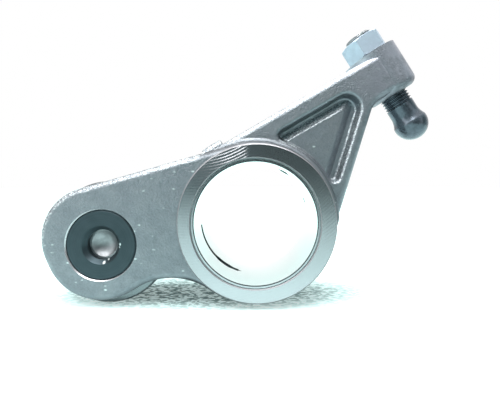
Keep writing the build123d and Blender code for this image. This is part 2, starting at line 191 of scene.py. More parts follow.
def add_node(tree, kind, inputs=None, out=0, **settings):
    """Adds a shader node with its settings, and gives one of its outputs.

    Each input, by name or number, is linked to a socket or set to a value. A MapRange turns the range
    between its inputs 1 and 2 into the range between its inputs 3 and 4.
    """
    made = tree.nodes.new("ShaderNode" + kind)
    for name, value in settings.items():
        setattr(made, name, value)
    for key, value in (inputs or {}).items():
        if isinstance(value, bpy.types.NodeSocket):
            tree.links.new(value, made.inputs[key])
        else:
            made.inputs[key].default_value = value
    return made.outputs[out] if made.outputs else made


def new_material(name):
    """An empty material's node tree, and the coordinates of the piece that wears it."""
    material = bpy.data.materials.new(name)
    material.use_nodes = True
    material.node_tree.nodes.clear()
    return material, material.node_tree, add_node(material.node_tree, "TexCoord", out="Object")


def dress(material, *nodes):
    """Gives CAD nodes their finish."""
    for name in nodes:
        slots = frame["nodes"][name].material_slots
        if not slots:
            raise RuntimeError(f"{name} came without a material slot")
        for slot in slots:
            slot.material = material


def only_object():
    """Leaves edit mode and deselects everything."""
    if bpy.context.object and bpy.context.object.mode != "OBJECT":
        bpy.ops.object.mode_set(mode="OBJECT")
    bpy.ops.object.select_all(action="DESELECT")


def activate(piece):
    """Makes a piece the only one selected, and the active one."""
    only_object()
    piece.select_set(True)
    bpy.context.view_layer.objects.active = piece


def combine(piece, tool, operation):
    """Cuts, joins or trims a piece with another, which is used up."""
    activate(piece)
    modifier = piece.modifiers.new(operation.lower(), "BOOLEAN")
    modifier.operation = operation
    modifier.solver = "EXACT"
    modifier.object = tool
    bpy.ops.object.modifier_apply(modifier=modifier.name)
    bpy.data.objects.remove(tool)


class ROCKER_OT_arm(bpy.types.Operator):
    """Finishes the forged arm, with its milled hub faces, roller slot and nut seat"""

    bl_idname = "rocker.arm"
    bl_label = "Forged arm"

    def machined_faces(self, tree, place, depth, flat, from_ring, proud):
        """1 on the faces that a cutter has made, and 0 on the forged skin."""
        # Faces of the hub
        in_ring = add_node(tree, "Math", {0: from_ring, 1: HUB_FACE_RADIUS}, operation="LESS_THAN")
        hub_face = add_node(tree, "Math", {0: proud, 1: in_ring}, operation="MULTIPLY")
        # Slot of the roller
        from_pin = add_node(
            tree, "VectorMath", {0: flat, 1: PIN_CENTRE}, out="Value", operation="DISTANCE"
        )
        inside = add_node(tree, "Math", {0: depth, 1: ROLLER_SLOT_DEPTH}, operation="LESS_THAN")
        near_pin = add_node(tree, "Math", {0: from_pin, 1: ROLLER_SLOT_RADIUS}, operation="LESS_THAN")
        slot_face = add_node(tree, "Math", {0: inside, 1: near_pin}, operation="MULTIPLY")
        # Seat of the lock nut
        from_seat = add_node(tree, "VectorMath", {0: place, 1: NUT_SEAT}, operation="SUBTRACT")
        over_seat = add_node(
            tree, "VectorMath", {0: from_seat, 1: SCREW_ALONG}, out="Value", operation="DOT_PRODUCT"
        )
        seat_reach = add_node(tree, "VectorMath", {0: from_seat}, out="Value", operation="LENGTH")
        on_seat = add_node(tree, "Math", {0: over_seat, 1: -NUT_SEAT_SLACK}, operation="GREATER_THAN")
        near_seat = add_node(tree, "Math", {0: seat_reach, 1: NUT_SEAT_RADIUS}, operation="LESS_THAN")
        seat_face = add_node(tree, "Math", {0: on_seat, 1: near_seat}, operation="MULTIPLY")
        # Chamfers of the pin's hole
        outside = add_node(tree, "Math", {0: depth, 1: PIN_CHAMFER_DEPTH}, operation="GREATER_THAN")
        at_pin = add_node(tree, "Math", {0: from_pin, 1: PIN_CHAMFER_RADIUS}, operation="LESS_THAN")
        pin_chamfer = add_node(tree, "Math", {0: outside, 1: at_pin}, operation="MULTIPLY")
        machined = hub_face
        for face in (slot_face, seat_face, pin_chamfer):
            machined = add_node(tree, "Math", {0: machined, 1: face}, operation="MAXIMUM")
        return machined

    def milled_faces(self, tree, colours, sizes, flat, round_hub, rims):
        """Colour, roughness and bump of the milled faces."""
        # Cutter marks: arcs about the middle of the cutter's path, above the hub
        cutter_centre = Vector((-29.4 * MM, 0, 74.9 * MM))
        chatter_gap = 1.5 * MM
        from_cutter = add_node(
            tree, "VectorMath", {0: flat, 1: cutter_centre}, out="Value", operation="DISTANCE"
        )
        turns = add_node(
            tree, "Math", {0: from_cutter, 1: 2 * pi / sizes.cutter_feed}, operation="MULTIPLY"
        )
        wave = add_node(tree, "Math", {0: turns}, operation="SINE")
        lean = add_node(tree, "Math", {0: turns, 1: wave}, operation="SUBTRACT")
        chatter = add_node(
            tree,
            "TexNoise",
            {"W": from_cutter, "Scale": 1 / chatter_gap, "Detail": 2.0, "Roughness": 0.5},
            noise_dimensions="1D",
        )
        marks = add_node(tree, "Math", {0: chatter, 1: 1.5, 2: lean}, operation="MULTIPLY_ADD")
        # They stand out where the cutter came onto the face, at the top left, and fade away from there
        began = add_node(
            tree, "MapRange", {0: round_hub, 1: radians(93), 2: radians(99), 3: 0.06, 4: 1.0}
        )
        faded = add_node(
            tree, "MapRange", {0: round_hub, 1: radians(114), 2: radians(158), 3: 0.85, 4: 0.03}
        )
        strength = add_node(tree, "Math", {0: began, 1: faded}, operation="MULTIPLY")
        bump = add_node(tree, "Bump", {"Strength": strength, "Distance": 0.038 * MM, "Height": marks})
        # The chamfers round the bush and round the rim are painted darker, a painted shade, and are
        # duller
        shade = add_node(tree, "MapRange", {0: wave, 1: -1.0, 2: 1.0, 3: 0.985, 4: 1.015})
        rim_shade = add_node(tree, "MapRange", {0: rims, 3: 1.0, 4: 0.6})
        shade = add_node(tree, "Math", {0: shade, 1: rim_shade}, operation="MULTIPLY")
        milled = add_node(
            tree, "VectorMath", {0: colours.machined[:3], "Scale": shade}, operation="SCALE"
        )
        rough = add_node(tree, "MapRange", {0: rims, 3: 0.25, 4: 0.6})
        return milled, rough, bump

    def forged_skin(self, tree, colours, sizes, place, depth, from_axis):
        """Colour, roughness and bump of the skin: shot dents, patches of heat scale, bright nicks,
        painted glints and painted shade.
        """
        dents = add_node(
            tree,
            "TexNoise",
            {"Vector": place, "Scale": 1 / sizes.shot_dent, "Detail": 3.0, "Roughness": 0.6},
        )
        patches = add_node(
            tree,
            "TexNoise",
            {"Vector": place, "Scale": 1 / sizes.skin_patch, "Detail": 6.0, "Roughness": 0.6},
        )
        mottle = add_node(tree, "MapRange", {0: patches, 1: 0.3, 2: 0.7, 3: 0.0, 4: 1.0})
        skin = add_node(
            tree,
            "Mix",
            {0: mottle, MIX_A: colours.scale, MIX_B: colours.forging},
            out=MIXED,
            data_type="RGBA",
        )
        # Nicks, drawn out a little along the arm
        nick_gap = 4 * MM
        drawn_out = add_node(tree, "VectorMath", {0: place, 1: (0.6, 1, 1.1)}, operation="MULTIPLY")
        nick_cells = add_node(
            tree, "TexVoronoi", {"Vector": drawn_out, "Scale": 1 / nick_gap}, out="Distance"
        )
        nicks = add_node(tree, "MapRange", {0: nick_cells, 1: 0.05, 2: 0.15, 3: 1.0, 4: 0.0})
        nick_gate = add_node(tree, "MapRange", {0: patches, 1: 0.46, 2: 0.56, 3: 0.0, 4: 0.8})
        nicks_and_glints = add_node(tree, "Math", {0: nicks, 1: nick_gate}, operation="MULTIPLY")
        # Off the hub, bright glints are painted on edges and walls that face up or to the left, where the
        # overhead light catches them: painted highlights
        outward = add_node(tree, "TexCoord", out="Normal")
        up_left = add_node(
            tree, "VectorMath", {0: outward, 1: (-0.6, 0, 0.8)}, out="Value", operation="DOT_PRODUCT"
        )
        glint_facing = add_node(tree, "MapRange", {0: up_left, 1: 0.1, 2: 0.3, 3: 0.0, 4: 1.0})
        painted_glints = add_node(tree, "MapRange", {0: dents, 1: 0.48, 2: 0.6, 3: 0.0, 4: 0.55})
        painted_glints = add_node(tree, "Math", {0: painted_glints, 1: glint_facing}, operation="MULTIPLY")
        off_hub = add_node(tree, "MapRange", {0: from_axis, 1: 39 * MM, 2: 40 * MM, 3: 0.0, 4: 1.0})
        painted_glints = add_node(tree, "Math", {0: painted_glints, 1: off_hub}, operation="MULTIPLY")
        nicks_and_glints = add_node(tree, "Math", {0: nicks_and_glints, 1: painted_glints}, operation="MAXIMUM")
        # The skin is paler on the screw boss
        from_boss = add_node(
            tree, "VectorMath", {0: place, 1: BOSS_MIDDLE}, out="Value", operation="DISTANCE"
        )
        on_boss = add_node(tree, "MapRange", {0: from_boss, 1: 14 * MM, 2: 30 * MM, 3: 1.0, 4: 0.0})
        blotches = add_node(tree, "MapRange", {0: patches, 1: 0.42, 2: 0.55, 3: 0.4, 4: 1.0})
        on_boss = add_node(tree, "Math", {0: on_boss, 1: blotches}, operation="MULTIPLY")
        skin = add_node(
            tree, "Mix", {0: on_boss, MIX_A: skin, MIX_B: colours.boss}, out=MIXED, data_type="RGBA"
        )
        # Painted shade darkens it where the flare meets the hub face
        facing = add_node(tree, "SeparateXYZ", {0: outward}, out="Y")
        facing = add_node(tree, "Math", {0: facing}, operation="ABSOLUTE")
        sloping = add_node(tree, "MapRange", {0: facing, 1: 0.97, 2: 0.8, 3: 0.0, 4: 1.0})
        at_front = add_node(tree, "MapRange", {0: depth, 1: 13 * MM, 2: 19 * MM, 3: 0.0, 4: 1.0})
        on_flare = add_node(tree, "Math", {0: at_front, 1: sloping}, operation="MULTIPLY")
        painted_flare_shade = add_node(tree, "MapRange", {0: from_axis, 1: 40 * MM, 2: 43 * MM, 3: 0.35, 4: 1.0})
        painted_flare_shade = add_node(tree, "Mix", {0: on_flare, 2: 1.0, 3: painted_flare_shade}, data_type="FLOAT")
        # Painted shade darkens the underside of the boss, near the screw
        upward = add_node(
            tree, "VectorMath", {0: outward, 1: SCREW_ALONG}, out="Value", operation="DOT_PRODUCT"
        )
        painted_underside_shade = add_node(tree, "MapRange", {0: upward, 1: -0.6, 2: -0.15, 3: 0.5, 4: 1.0})
        near_boss = add_node(tree, "MapRange", {0: from_boss, 1: 19 * MM, 2: 30 * MM, 3: 1.0, 4: 0.0})
        painted_underside_shade = add_node(tree, "Mix", {0: near_boss, 2: 1.0, 3: painted_underside_shade}, data_type="FLOAT")
        shade = add_node(tree, "MapRange", {0: dents, 1: 0.35, 2: 0.65, 3: 0.93, 4: 1.06})
        for darker in (painted_flare_shade, painted_underside_shade):
            shade = add_node(tree, "Math", {0: shade, 1: darker}, operation="MULTIPLY")
        skin = add_node(tree, "VectorMath", {0: skin, "Scale": shade}, operation="SCALE")
        skin = add_node(
            tree, "Mix", {0: nicks_and_glints, MIX_A: skin, MIX_B: colours.nick}, out=MIXED, data_type="RGBA"
        )
        rough = add_node(tree, "MapRange", {0: patches, 1: 0.3, 2: 0.7, 3: 0.5, 4: 0.4})
        relief = add_node(tree, "Math", {0: patches, 1: 0.8, 2: dents}, operation="MULTIPLY_ADD")
        dented = add_node(tree, "MapRange", {0: on_boss, 3: 0.8, 4: 0.25})
        bump = add_node(tree, "Bump", {"Strength": dented, "Distance": 0.36 * MM, "Height": relief})
        return skin, rough, bump

    def execute(self, context):
        colours = context.scene.rocker_colours
        sizes = context.scene.rocker_sizes
        # Shot-blasted forged steel: grey and dull, dented all over, sparkling on its rounded edges, with
        # painted glints and painted shade
        material, tree, place = new_material("shot_blasted_forged_steel")
        x, y, z = (add_node(tree, "SeparateXYZ", {0: place}, out=axis) for axis in "XYZ")
        depth = add_node(tree, "Math", {0: y}, operation="ABSOLUTE")
        flat = add_node(tree, "VectorMath", {0: place, 1: (1, 0, 1)}, operation="MULTIPLY")
        round_hub = add_node(tree, "Math", {0: z, 1: x}, operation="ARCTAN2")
        from_axis = add_node(tree, "VectorMath", {0: flat}, out="Value", operation="LENGTH")
        from_ring = add_node(
            tree, "VectorMath", {0: flat, 1: HUB_FACE_CENTRE}, out="Value", operation="DISTANCE"
        )
        proud = add_node(tree, "Math", {0: depth, 1: HUB_FACE_DEPTH}, operation="GREATER_THAN")
        bush_rim = add_node(tree, "Math", {0: from_axis, 1: BUSH_RIM_RADIUS}, operation="LESS_THAN")
        outer_rim = add_node(
            tree, "Math", {0: from_ring, 1: HUB_CHAMFER_RADIUS}, operation="GREATER_THAN"
        )
        outer_rim = add_node(tree, "Math", {0: outer_rim, 1: proud}, operation="MULTIPLY")
        rims = add_node(tree, "Math", {0: bush_rim, 1: outer_rim}, operation="MAXIMUM")

        machined = self.machined_faces(tree, place, depth, flat, from_ring, proud)
        milled, milled_rough, milled_bump = self.milled_faces(
            tree, colours, sizes, flat, round_hub, rims
        )
        skin, skin_rough, skin_bump = self.forged_skin(tree, colours, sizes, place, depth, from_axis)
        finish = add_node(
            tree, "Mix", {0: machined, MIX_A: skin, MIX_B: milled}, out=MIXED, data_type="RGBA"
        )
        rough = add_node(tree, "Mix", {0: machined, 2: skin_rough, 3: milled_rough}, data_type="FLOAT")
        bump = add_node(
            tree,
            "Mix",
            {0: machined, VECTOR_A: skin_bump, VECTOR_B: milled_bump},
            out=VECTOR_MIXED,
            data_type="VECTOR",
        )
        shader = add_node(
            tree,
            "BsdfPrincipled",
            {"Base Color": finish, "Metallic": 1.0, "Roughness": rough, "Normal": bump},
        )
        add_node(tree, "OutputMaterial", {"Surface": shader})
        dress(material, "rocker_arm")
        return {"FINISHED"}


class ROCKER_OT_shaft_bush(bpy.types.Operator):
    """Finishes the shaft bush, with its dark oil groove"""

    bl_idname = "rocker.shaft_bush"
    bl_label = "Shaft bush"

    def execute(self, context):
        colours = context.scene.rocker_colours
        sizes = context.scene.rocker_sizes
        # Fine-bored bearing steel: bright, with hair-thin rings along the bore
        material, tree, place = new_material("fine_bored_bearing_steel")
        x, y, z = (add_node(tree, "SeparateXYZ", {0: place}, out=axis) for axis in "XYZ")
        depth = add_node(tree, "Math", {0: y}, operation="ABSOLUTE")
        angle = add_node(tree, "Math", {0: z, 1: x}, operation="ARCTAN2")
        flat = add_node(tree, "VectorMath", {0: place, 1: (1, 0, 1)}, operation="MULTIPLY")
        radius = add_node(tree, "VectorMath", {0: flat}, out="Value", operation="LENGTH")
        # The groove runs half way along the bore and lies deeper than it; its bottom is painted dark, a
        # painted shade in the recess
        middle = add_node(tree, "Math", {0: depth, 1: GROOVE_HALF_WIDTH}, operation="LESS_THAN")
        deeper = add_node(tree, "Math", {0: radius, 1: BORE_LIMIT}, operation="GREATER_THAN")
        painted_dark = add_node(tree, "Math", {0: middle, 1: deeper}, operation="MULTIPLY")
        # Two patches widen the groove's band of painted shade: angle and half span in degrees, half width
        # in mm
        for turn, half_span, half_width in ((59, 7.5, 5.5), (-126, 22, 2.9)):
            off_mark = add_node(tree, "Math", {0: angle, 1: radians(turn)}, operation="SUBTRACT")
            off_mark = add_node(tree, "Math", {0: off_mark}, operation="ABSOLUTE")
            full, gone = radians(0.3 * half_span), radians(half_span)
            mark_width = add_node(
                tree, "MapRange", {0: off_mark, 1: full, 2: gone, 3: half_width * MM, 4: 0.0}
            )
            mark = add_node(tree, "Math", {0: depth, 1: mark_width}, operation="LESS_THAN")
            painted_dark = add_node(tree, "Math", {0: painted_dark, 1: mark}, operation="MAXIMUM")
        # The chamfer at each end is painted dark, a painted shade line
        at_end = add_node(tree, "Math", {0: depth, 1: BUSH_CHAMFER_DEPTH}, operation="GREATER_THAN")
        chamfer = add_node(tree, "Math", {0: radius, 1: BUSH_CHAMFER_RADIUS}, operation="LESS_THAN")
        chamfer = add_node(tree, "Math", {0: at_end, 1: chamfer}, operation="MULTIPLY")
        painted_dark = add_node(tree, "Math", {0: painted_dark, 1: chamfer}, operation="MAXIMUM")
        # The bore's far half is painted brighter, a painted light
        painted_far_light = add_node(tree, "MapRange", {0: y, 1: -15 * MM, 2: 22 * MM, 3: 0.0, 4: 0.9})
        bored = add_node(
            tree, "Mix", {0: painted_far_light, MIX_A: colours.bush, MIX_B: WHITE}, out=MIXED, data_type="RGBA"
        )
        rings = add_node(
            tree,
            "TexNoise",
            {"W": y, "Scale": 1 / sizes.turning_feed, "Detail": 2.0},
            noise_dimensions="1D",
        )
        shade = add_node(tree, "MapRange", {0: rings, 1: 0.3, 2: 0.7, 3: 0.94, 4: 1.03})
        bored = add_node(tree, "VectorMath", {0: bored, "Scale": shade}, operation="SCALE")
        # Its end faces are milled together with the hub
        end_face = add_node(tree, "Math", {0: depth, 1: BUSH_FACE_DEPTH}, operation="GREATER_THAN")
        finish = add_node(
            tree, "Mix", {0: end_face, MIX_A: bored, MIX_B: colours.machined}, out=MIXED, data_type="RGBA"
        )
        rough = add_node(tree, "Mix", {0: end_face, 2: 0.4, 3: 0.25}, data_type="FLOAT")
        bump = add_node(tree, "Bump", {"Strength": 0.5, "Distance": 0.01 * MM, "Height": rings})
        steel = add_node(
            tree,
            "BsdfPrincipled",
            {"Base Color": finish, "Metallic": 1.0, "Roughness": rough, "Normal": bump},
        )
        # The painted shade is matt, so it stays dark at any angle
        dark_matt = add_node(tree, "BsdfDiffuse", {"Color": colours.groove})
        shader = add_node(tree, "MixShader", {0: painted_dark, 1: steel, 2: dark_matt})
        add_node(tree, "OutputMaterial", {"Surface": shader})
        dress(material, "shaft_bush")
        return {"FINISHED"}


class ROCKER_OT_pin(bpy.types.Operator):
    """Finishes the black roller pin and its two plugs"""

    bl_idname = "rocker.pin"
    bl_label = "Pin and plugs"

    def execute(self, context):
        colours = context.scene.rocker_colours
        sizes = context.scene.rocker_sizes
        # Black oxide over turned steel: a thin blue-black skin with fine rings and a soft sheen
        material, tree, place = new_material("black_oxide_steel")
        flat = add_node(tree, "VectorMath", {0: place, 1: (1, 0, 1)}, operation="MULTIPLY")
        radius = add_node(
            tree, "VectorMath", {0: flat, 1: PIN_CENTRE}, out="Value", operation="DISTANCE"
        )
        rings = add_node(
            tree,
            "TexNoise",
            {"W": radius, "Scale": 1 / sizes.turning_feed, "Detail": 3.0},
            noise_dimensions="1D",
        )
        cloud_width = 5 * MM
        cloud = add_node(tree, "TexNoise", {"Vector": place, "Scale": 1 / cloud_width, "Detail": 4.0})
        uneven = add_node(tree, "Math", {0: rings, 1: cloud}, operation="ADD")
        shade = add_node(tree, "MapRange", {0: uneven, 1: 0.7, 2: 1.3, 3: 0.88, 4: 1.1})
        black = add_node(tree, "VectorMath", {0: colours.pin[:3], "Scale": shade}, operation="SCALE")
        # Four small bright spots round the mouth of the front hole, in the nicks' colour, given from the
        # pin's axis in mm
        bare = 0.0
        for across, up, reach in ((1.3, -8.0, 0.75), (3.1, -6.7, 0.5), (8.6, 0.4, 0.8), (8.4, -0.9, 0.6)):
            nick = PIN_CENTRE + Vector((across, 0, up)) * MM
            away = add_node(tree, "VectorMath", {0: flat, 1: nick}, out="Value", operation="DISTANCE")
            patch = add_node(
                tree, "MapRange", {0: away, 1: 0.5 * reach * MM, 2: reach * MM, 3: 1.0, 4: 0.0}
            )
            bare = add_node(tree, "Math", {0: bare, 1: patch}, operation="MAXIMUM")
        y = add_node(tree, "SeparateXYZ", {0: place}, out="Y")
        in_front = add_node(tree, "Math", {0: y, 1: 0.0}, operation="LESS_THAN")
        bare = add_node(tree, "Math", {0: bare, 1: in_front}, operation="MULTIPLY")
        finish = add_node(
            tree, "Mix", {0: bare, MIX_A: black, MIX_B: colours.nick}, out=MIXED, data_type="RGBA"
        )
        rough = add_node(tree, "MapRange", {0: cloud, 1: 0.3, 2: 0.7, 3: 0.42, 4: 0.52})
        bump = add_node(tree, "Bump", {"Strength": 0.5, "Distance": 0.02 * MM, "Height": uneven})
        shader = add_node(
            tree,
            "BsdfPrincipled",
            {"Base Color": finish, "Metallic": 1.0, "Roughness": rough, "Normal": bump},
        )
        add_node(tree, "OutputMaterial", {"Surface": shader})
        dress(material, "roller_pin")

        # Pressed steel plug: satin, with smeared light patches where the tool has driven it in
        material, tree, place = new_material("pressed_steel_plug")
        smear_width = 3 * MM
        smears = add_node(
            tree,
            "TexNoise",
            {"Vector": place, "Scale": 1 / smear_width, "Detail": 4.0, "Distortion": 1.0},
        )
        shade = add_node(tree, "MapRange", {0: smears, 1: 0.35, 2: 0.65, 3: 0.88, 4: 1.05})
        finish = add_node(tree, "VectorMath", {0: colours.plug[:3], "Scale": shade}, operation="SCALE")
        rough = add_node(tree, "MapRange", {0: smears, 1: 0.3, 2: 0.7, 3: 0.5, 4: 0.35})
        bump = add_node(tree, "Bump", {"Strength": 0.4, "Distance": 0.04 * MM, "Height": smears})
        shader = add_node(
            tree,
            "BsdfPrincipled",
            {"Base Color": finish, "Metallic": 1.0, "Roughness": rough, "Normal": bump},
        )
        add_node(tree, "OutputMaterial", {"Surface": shader})
        dress(material, "pin_plug_front", "pin_plug_rear")
        return {"FINISHED"}


class ROCKER_OT_roller(bpy.types.Operator):
    """Finishes the cam roller and its floating bush"""

    bl_idname = "rocker.roller"
    bl_label = "Roller and floating bush"

    def execute(self, context):
        colours = context.scene.rocker_colours
        sizes = context.scene.rocker_sizes
        # Ground hardened steel: fine scratches round the track, and turned rings on the sides
        material, tree, place = new_material("ground_roller_steel")
        y = add_node(tree, "SeparateXYZ", {0: place}, out="Y")
        flat = add_node(tree, "VectorMath", {0: place, 1: (1, 0, 1)}, operation="MULTIPLY")
        radius = add_node(
            tree, "VectorMath", {0: flat, 1: PIN_CENTRE}, out="Value", operation="DISTANCE"
        )
        across = add_node(tree, "Math", {0: radius, 1: y}, operation="ADD")
        scratches = add_node(
            tree,
            "TexNoise",
            {"W": across, "Scale": 1 / sizes.turning_feed, "Detail": 4.0},
            noise_dimensions="1D",
        )
        shade = add_node(tree, "MapRange", {0: scratches, 1: 0.3, 2: 0.7, 3: 0.9, 4: 1.06})
        finish = add_node(tree, "VectorMath", {0: colours.roller[:3], "Scale": shade}, operation="SCALE")
        bump = add_node(tree, "Bump", {"Strength": 0.5, "Distance": 0.01 * MM, "Height": scratches})
        shader = add_node(
            tree,
            "BsdfPrincipled",
            {"Base Color": finish, "Metallic": 1.0, "Roughness": 0.22, "Normal": bump},
        )
        add_node(tree, "OutputMaterial", {"Surface": shader})
        dress(material, "cam_roller")

        # Turned bearing bronze: warm and soft, with rings along it
        material, tree, place = new_material("bearing_bronze")
        y = add_node(tree, "SeparateXYZ", {0: place}, out="Y")
        rings = add_node(
            tree,
            "TexNoise",
            {"W": y, "Scale": 1 / sizes.turning_feed, "Detail": 3.0},
            noise_dimensions="1D",
        )
        shade = add_node(tree, "MapRange", {0: rings, 1: 0.3, 2: 0.7, 3: 0.88, 4: 1.08})
        finish = add_node(tree, "VectorMath", {0: colours.bronze[:3], "Scale": shade}, operation="SCALE")
        bump = add_node(tree, "Bump", {"Strength": 0.5, "Distance": 0.01 * MM, "Height": rings})
        shader = add_node(
            tree,
            "BsdfPrincipled",
            {"Base Color": finish, "Metallic": 1.0, "Roughness": 0.35, "Normal": bump},
        )
        add_node(tree, "OutputMaterial", {"Surface": shader})
        dress(material, "roller_bush")
        return {"FINISHED"}


class ROCKER_OT_screw(bpy.types.Operator):
    """Models the adjusting screw: a rolled thread with a slot on top, a neck and a ball end"""

    bl_idname = "rocker.screw"
    bl_label = "Adjusting screw"

    def thread_coil(self, sizes, bottom, top):
        """A closed bar with a helical thread, which reaches past both ends of the screw."""
        pitch = sizes.screw_pitch
        crest = sizes.screw_thread / 2
        depth = 0.55 * pitch
        root = crest - depth
        # One thread from root to root, as radius and height in pitches
        profile = [(root, 0.06), (crest, 0.42), (crest, 0.58), (root, 0.94), (root, 1.06)]
        weld = MM / 100
        start = bottom - 2 * pitch
        only_object()
        bpy.ops.mesh.primitive_plane_add(size=MM, location=(0, 0, 0))
        coil = bpy.context.object
        bpy.ops.object.mode_set(mode="EDIT")
        bpy.ops.mesh.merge(type="CENTER")
        bpy.ops.transform.translate(value=(profile[0][0], 0, start + profile[0][1] * pitch))
        for here, there in zip(profile, profile[1:]):
            step = (there[0] - here[0], 0, (there[1] - here[1]) * pitch)
            bpy.ops.mesh.extrude_region_move(TRANSFORM_OT_translate={"value": step})
        bpy.ops.object.mode_set(mode="OBJECT")
        winding = coil.modifiers.new("winding", "SCREW")
        winding.axis = "Z"
        winding.steps = winding.render_steps = sizes.thread_facets
        winding.screw_offset = pitch
        winding.iterations = int((top - start) / pitch) + 3
        winding.use_merge_vertices = True
        winding.merge_threshold = weld
        bpy.ops.object.modifier_apply(modifier=winding.name)
        bpy.ops.object.mode_set(mode="EDIT")
        bpy.ops.mesh.select_all(action="SELECT")
        bpy.ops.mesh.remove_doubles(threshold=weld)
        bpy.ops.mesh.select_all(action="DESELECT")
        bpy.ops.mesh.select_mode(type="EDGE")
        bpy.ops.mesh.select_non_manifold()
        bpy.ops.mesh.fill_holes(sides=0)
        bpy.ops.mesh.select_all(action="SELECT")
        bpy.ops.mesh.normals_make_consistent(inside=False)
        bpy.ops.object.mode_set(mode="OBJECT")
        return coil

    def turned_bar(self, name, facets, outline):
        """A closed turned piece, from the points of its outline as radius and height, bottom to top."""
        only_object()
        bpy.ops.mesh.primitive_circle_add(
            vertices=facets, radius=outline[0][0], fill_type="NGON", location=(0, 0, outline[0][1])
        )
        bar = bpy.context.object
        bar.name = name
        bpy.ops.object.mode_set(mode="EDIT")
        bpy.ops.mesh.select_mode(type="FACE")
        bpy.ops.mesh.select_all(action="SELECT")
        for here, there in zip(outline, outline[1:]):
            rise = there[1] - here[1]
            bpy.ops.mesh.extrude_region_move(TRANSFORM_OT_translate={"value": (0, 0, rise)})
            share = there[0] / here[0]
            bpy.ops.transform.resize(value=(share, share, 1), center_override=(0, 0, there[1]))
        bpy.ops.mesh.select_all(action="SELECT")
        bpy.ops.mesh.normals_make_consistent(inside=False)
        bpy.ops.object.mode_set(mode="OBJECT")
        bpy.ops.object.transform_apply(location=True, rotation=True, scale=True)
        return bar

    def neck_outline(self, sizes):
        """The ball, the flare over it and the neck, as radius and height from the bottom up."""
        ball = sizes.ball / 2
        neck = sizes.neck / 2
        ball_steps = 24
        flare_steps = 9
        flare_curve = 1.8
        lowest = radians(-85)
        highest = asin(sizes.shoulder / ball)
        outline = []
        for step in range(ball_steps + 1):
            turn = lowest + (highest - lowest) * step / ball_steps
            outline.append((ball * cos(turn), -sizes.ball_drop + ball * sin(turn)))
        shoulder_radius, shoulder_height = outline[-1]
        for step in range(1, flare_steps + 1):
            share = step / flare_steps
            radius = neck + (shoulder_radius - neck) * (1 - share) ** flare_curve
            outline.append((radius, shoulder_height + share * sizes.neck_flare))
        # The neck reaches half a millimetre into the thread
        outline.append((neck, -sizes.thread_end + 0.5 * MM))
        return outline

    def model(self, sizes):
        """The screw's mesh, in its place."""
        facets = sizes.thread_facets
        top = sizes.screw_top
        thread_end = -sizes.thread_end
        crest = sizes.screw_thread / 2
        chamfer = sizes.screw_chamfer
        # The trimming bar is this many times as wide as the thread
        clear = 1.02
        weld = MM / 500

        # The thread, trimmed to a bar that narrows where it runs out and at the top chamfer
        screw = self.thread_coil(sizes, thread_end, top)
        blank_outline = [
            (sizes.neck / 2 - 0.4 * MM, thread_end - 0.4 * MM),
            (crest, thread_end + 0.6 * MM),
            (crest * clear, thread_end + 0.7 * MM),
            (crest * clear, top - chamfer * clear),
            (crest - chamfer, top),
        ]
        combine(screw, self.turned_bar("blank", facets, blank_outline), "INTERSECT")
        combine(screw, self.turned_bar("neck", facets, self.neck_outline(sizes)), "UNION")

        # Screwdriver slot
        only_object()
        bpy.ops.mesh.primitive_cube_add(size=1, location=(0, 0, top))
        slot = bpy.context.object
        slot.scale = (sizes.slot_width, 2 * sizes.screw_thread, 2 * sizes.slot_depth)
        bpy.ops.object.transform_apply(location=True, rotation=True, scale=True)
        combine(screw, slot, "DIFFERENCE")

        activate(screw)
        bpy.ops.object.mode_set(mode="EDIT")
        bpy.ops.mesh.select_all(action="SELECT")
        bpy.ops.mesh.remove_doubles(threshold=weld)
        bpy.ops.mesh.normals_make_consistent(inside=False)
        bpy.ops.object.mode_set(mode="OBJECT")
        screw.name = "threaded_adjusting_screw"
        screw.rotation_euler = (0, atan2(SCREW_ALONG.x, SCREW_ALONG.z), 0)
        screw.location = NUT_SEAT
        bpy.ops.object.transform_apply(location=True, rotation=True, scale=True)
        bpy.ops.object.shade_smooth_by_angle(angle=radians(28))
        return screw

    def execute(self, context):
        colours = context.scene.rocker_colours
        sizes = context.scene.rocker_sizes
        crest = sizes.screw_thread / 2
        top = sizes.screw_top
        screw = self.model(sizes)

        # Oiled black finish on a rolled thread and a ground ball: dark in the roots, worn on the crests
        material, tree, place = new_material("oiled_black_steel")
        from_seat = add_node(tree, "VectorMath", {0: place, 1: NUT_SEAT}, operation="SUBTRACT")
        above = add_node(
            tree, "VectorMath", {0: from_seat, 1: SCREW_ALONG}, out="Value", operation="DOT_PRODUCT"
        )
        squared = add_node(
            tree, "VectorMath", {0: from_seat, 1: from_seat}, out="Value", operation="DOT_PRODUCT"
        )
        rise = add_node(tree, "Math", {0: above, 1: above}, operation="MULTIPLY")
        apart = add_node(tree, "Math", {0: squared, 1: rise}, operation="SUBTRACT")
        radius = add_node(tree, "Math", {0: apart}, operation="SQRT")
        crest_wear = add_node(
            tree, "MapRange", {0: radius, 1: crest - 0.5 * MM, 2: crest, 3: 1.0, 4: 1.2}
        )
        on_thread = add_node(tree, "Math", {0: above, 1: -sizes.thread_end}, operation="GREATER_THAN")
        wear = add_node(tree, "Mix", {0: on_thread, 2: 1.0, 3: crest_wear}, data_type="FLOAT")
        cloud_width = 2.5 * MM
        cloud = add_node(tree, "TexNoise", {"Vector": place, "Scale": 1 / cloud_width, "Detail": 5.0})
        clouded = add_node(tree, "MapRange", {0: cloud, 1: 0.3, 2: 0.7, 3: 0.8, 4: 1.2})
        shade = add_node(tree, "Math", {0: wear, 1: clouded}, operation="MULTIPLY")
        finish = add_node(tree, "VectorMath", {0: colours.screw[:3], "Scale": shade}, operation="SCALE")
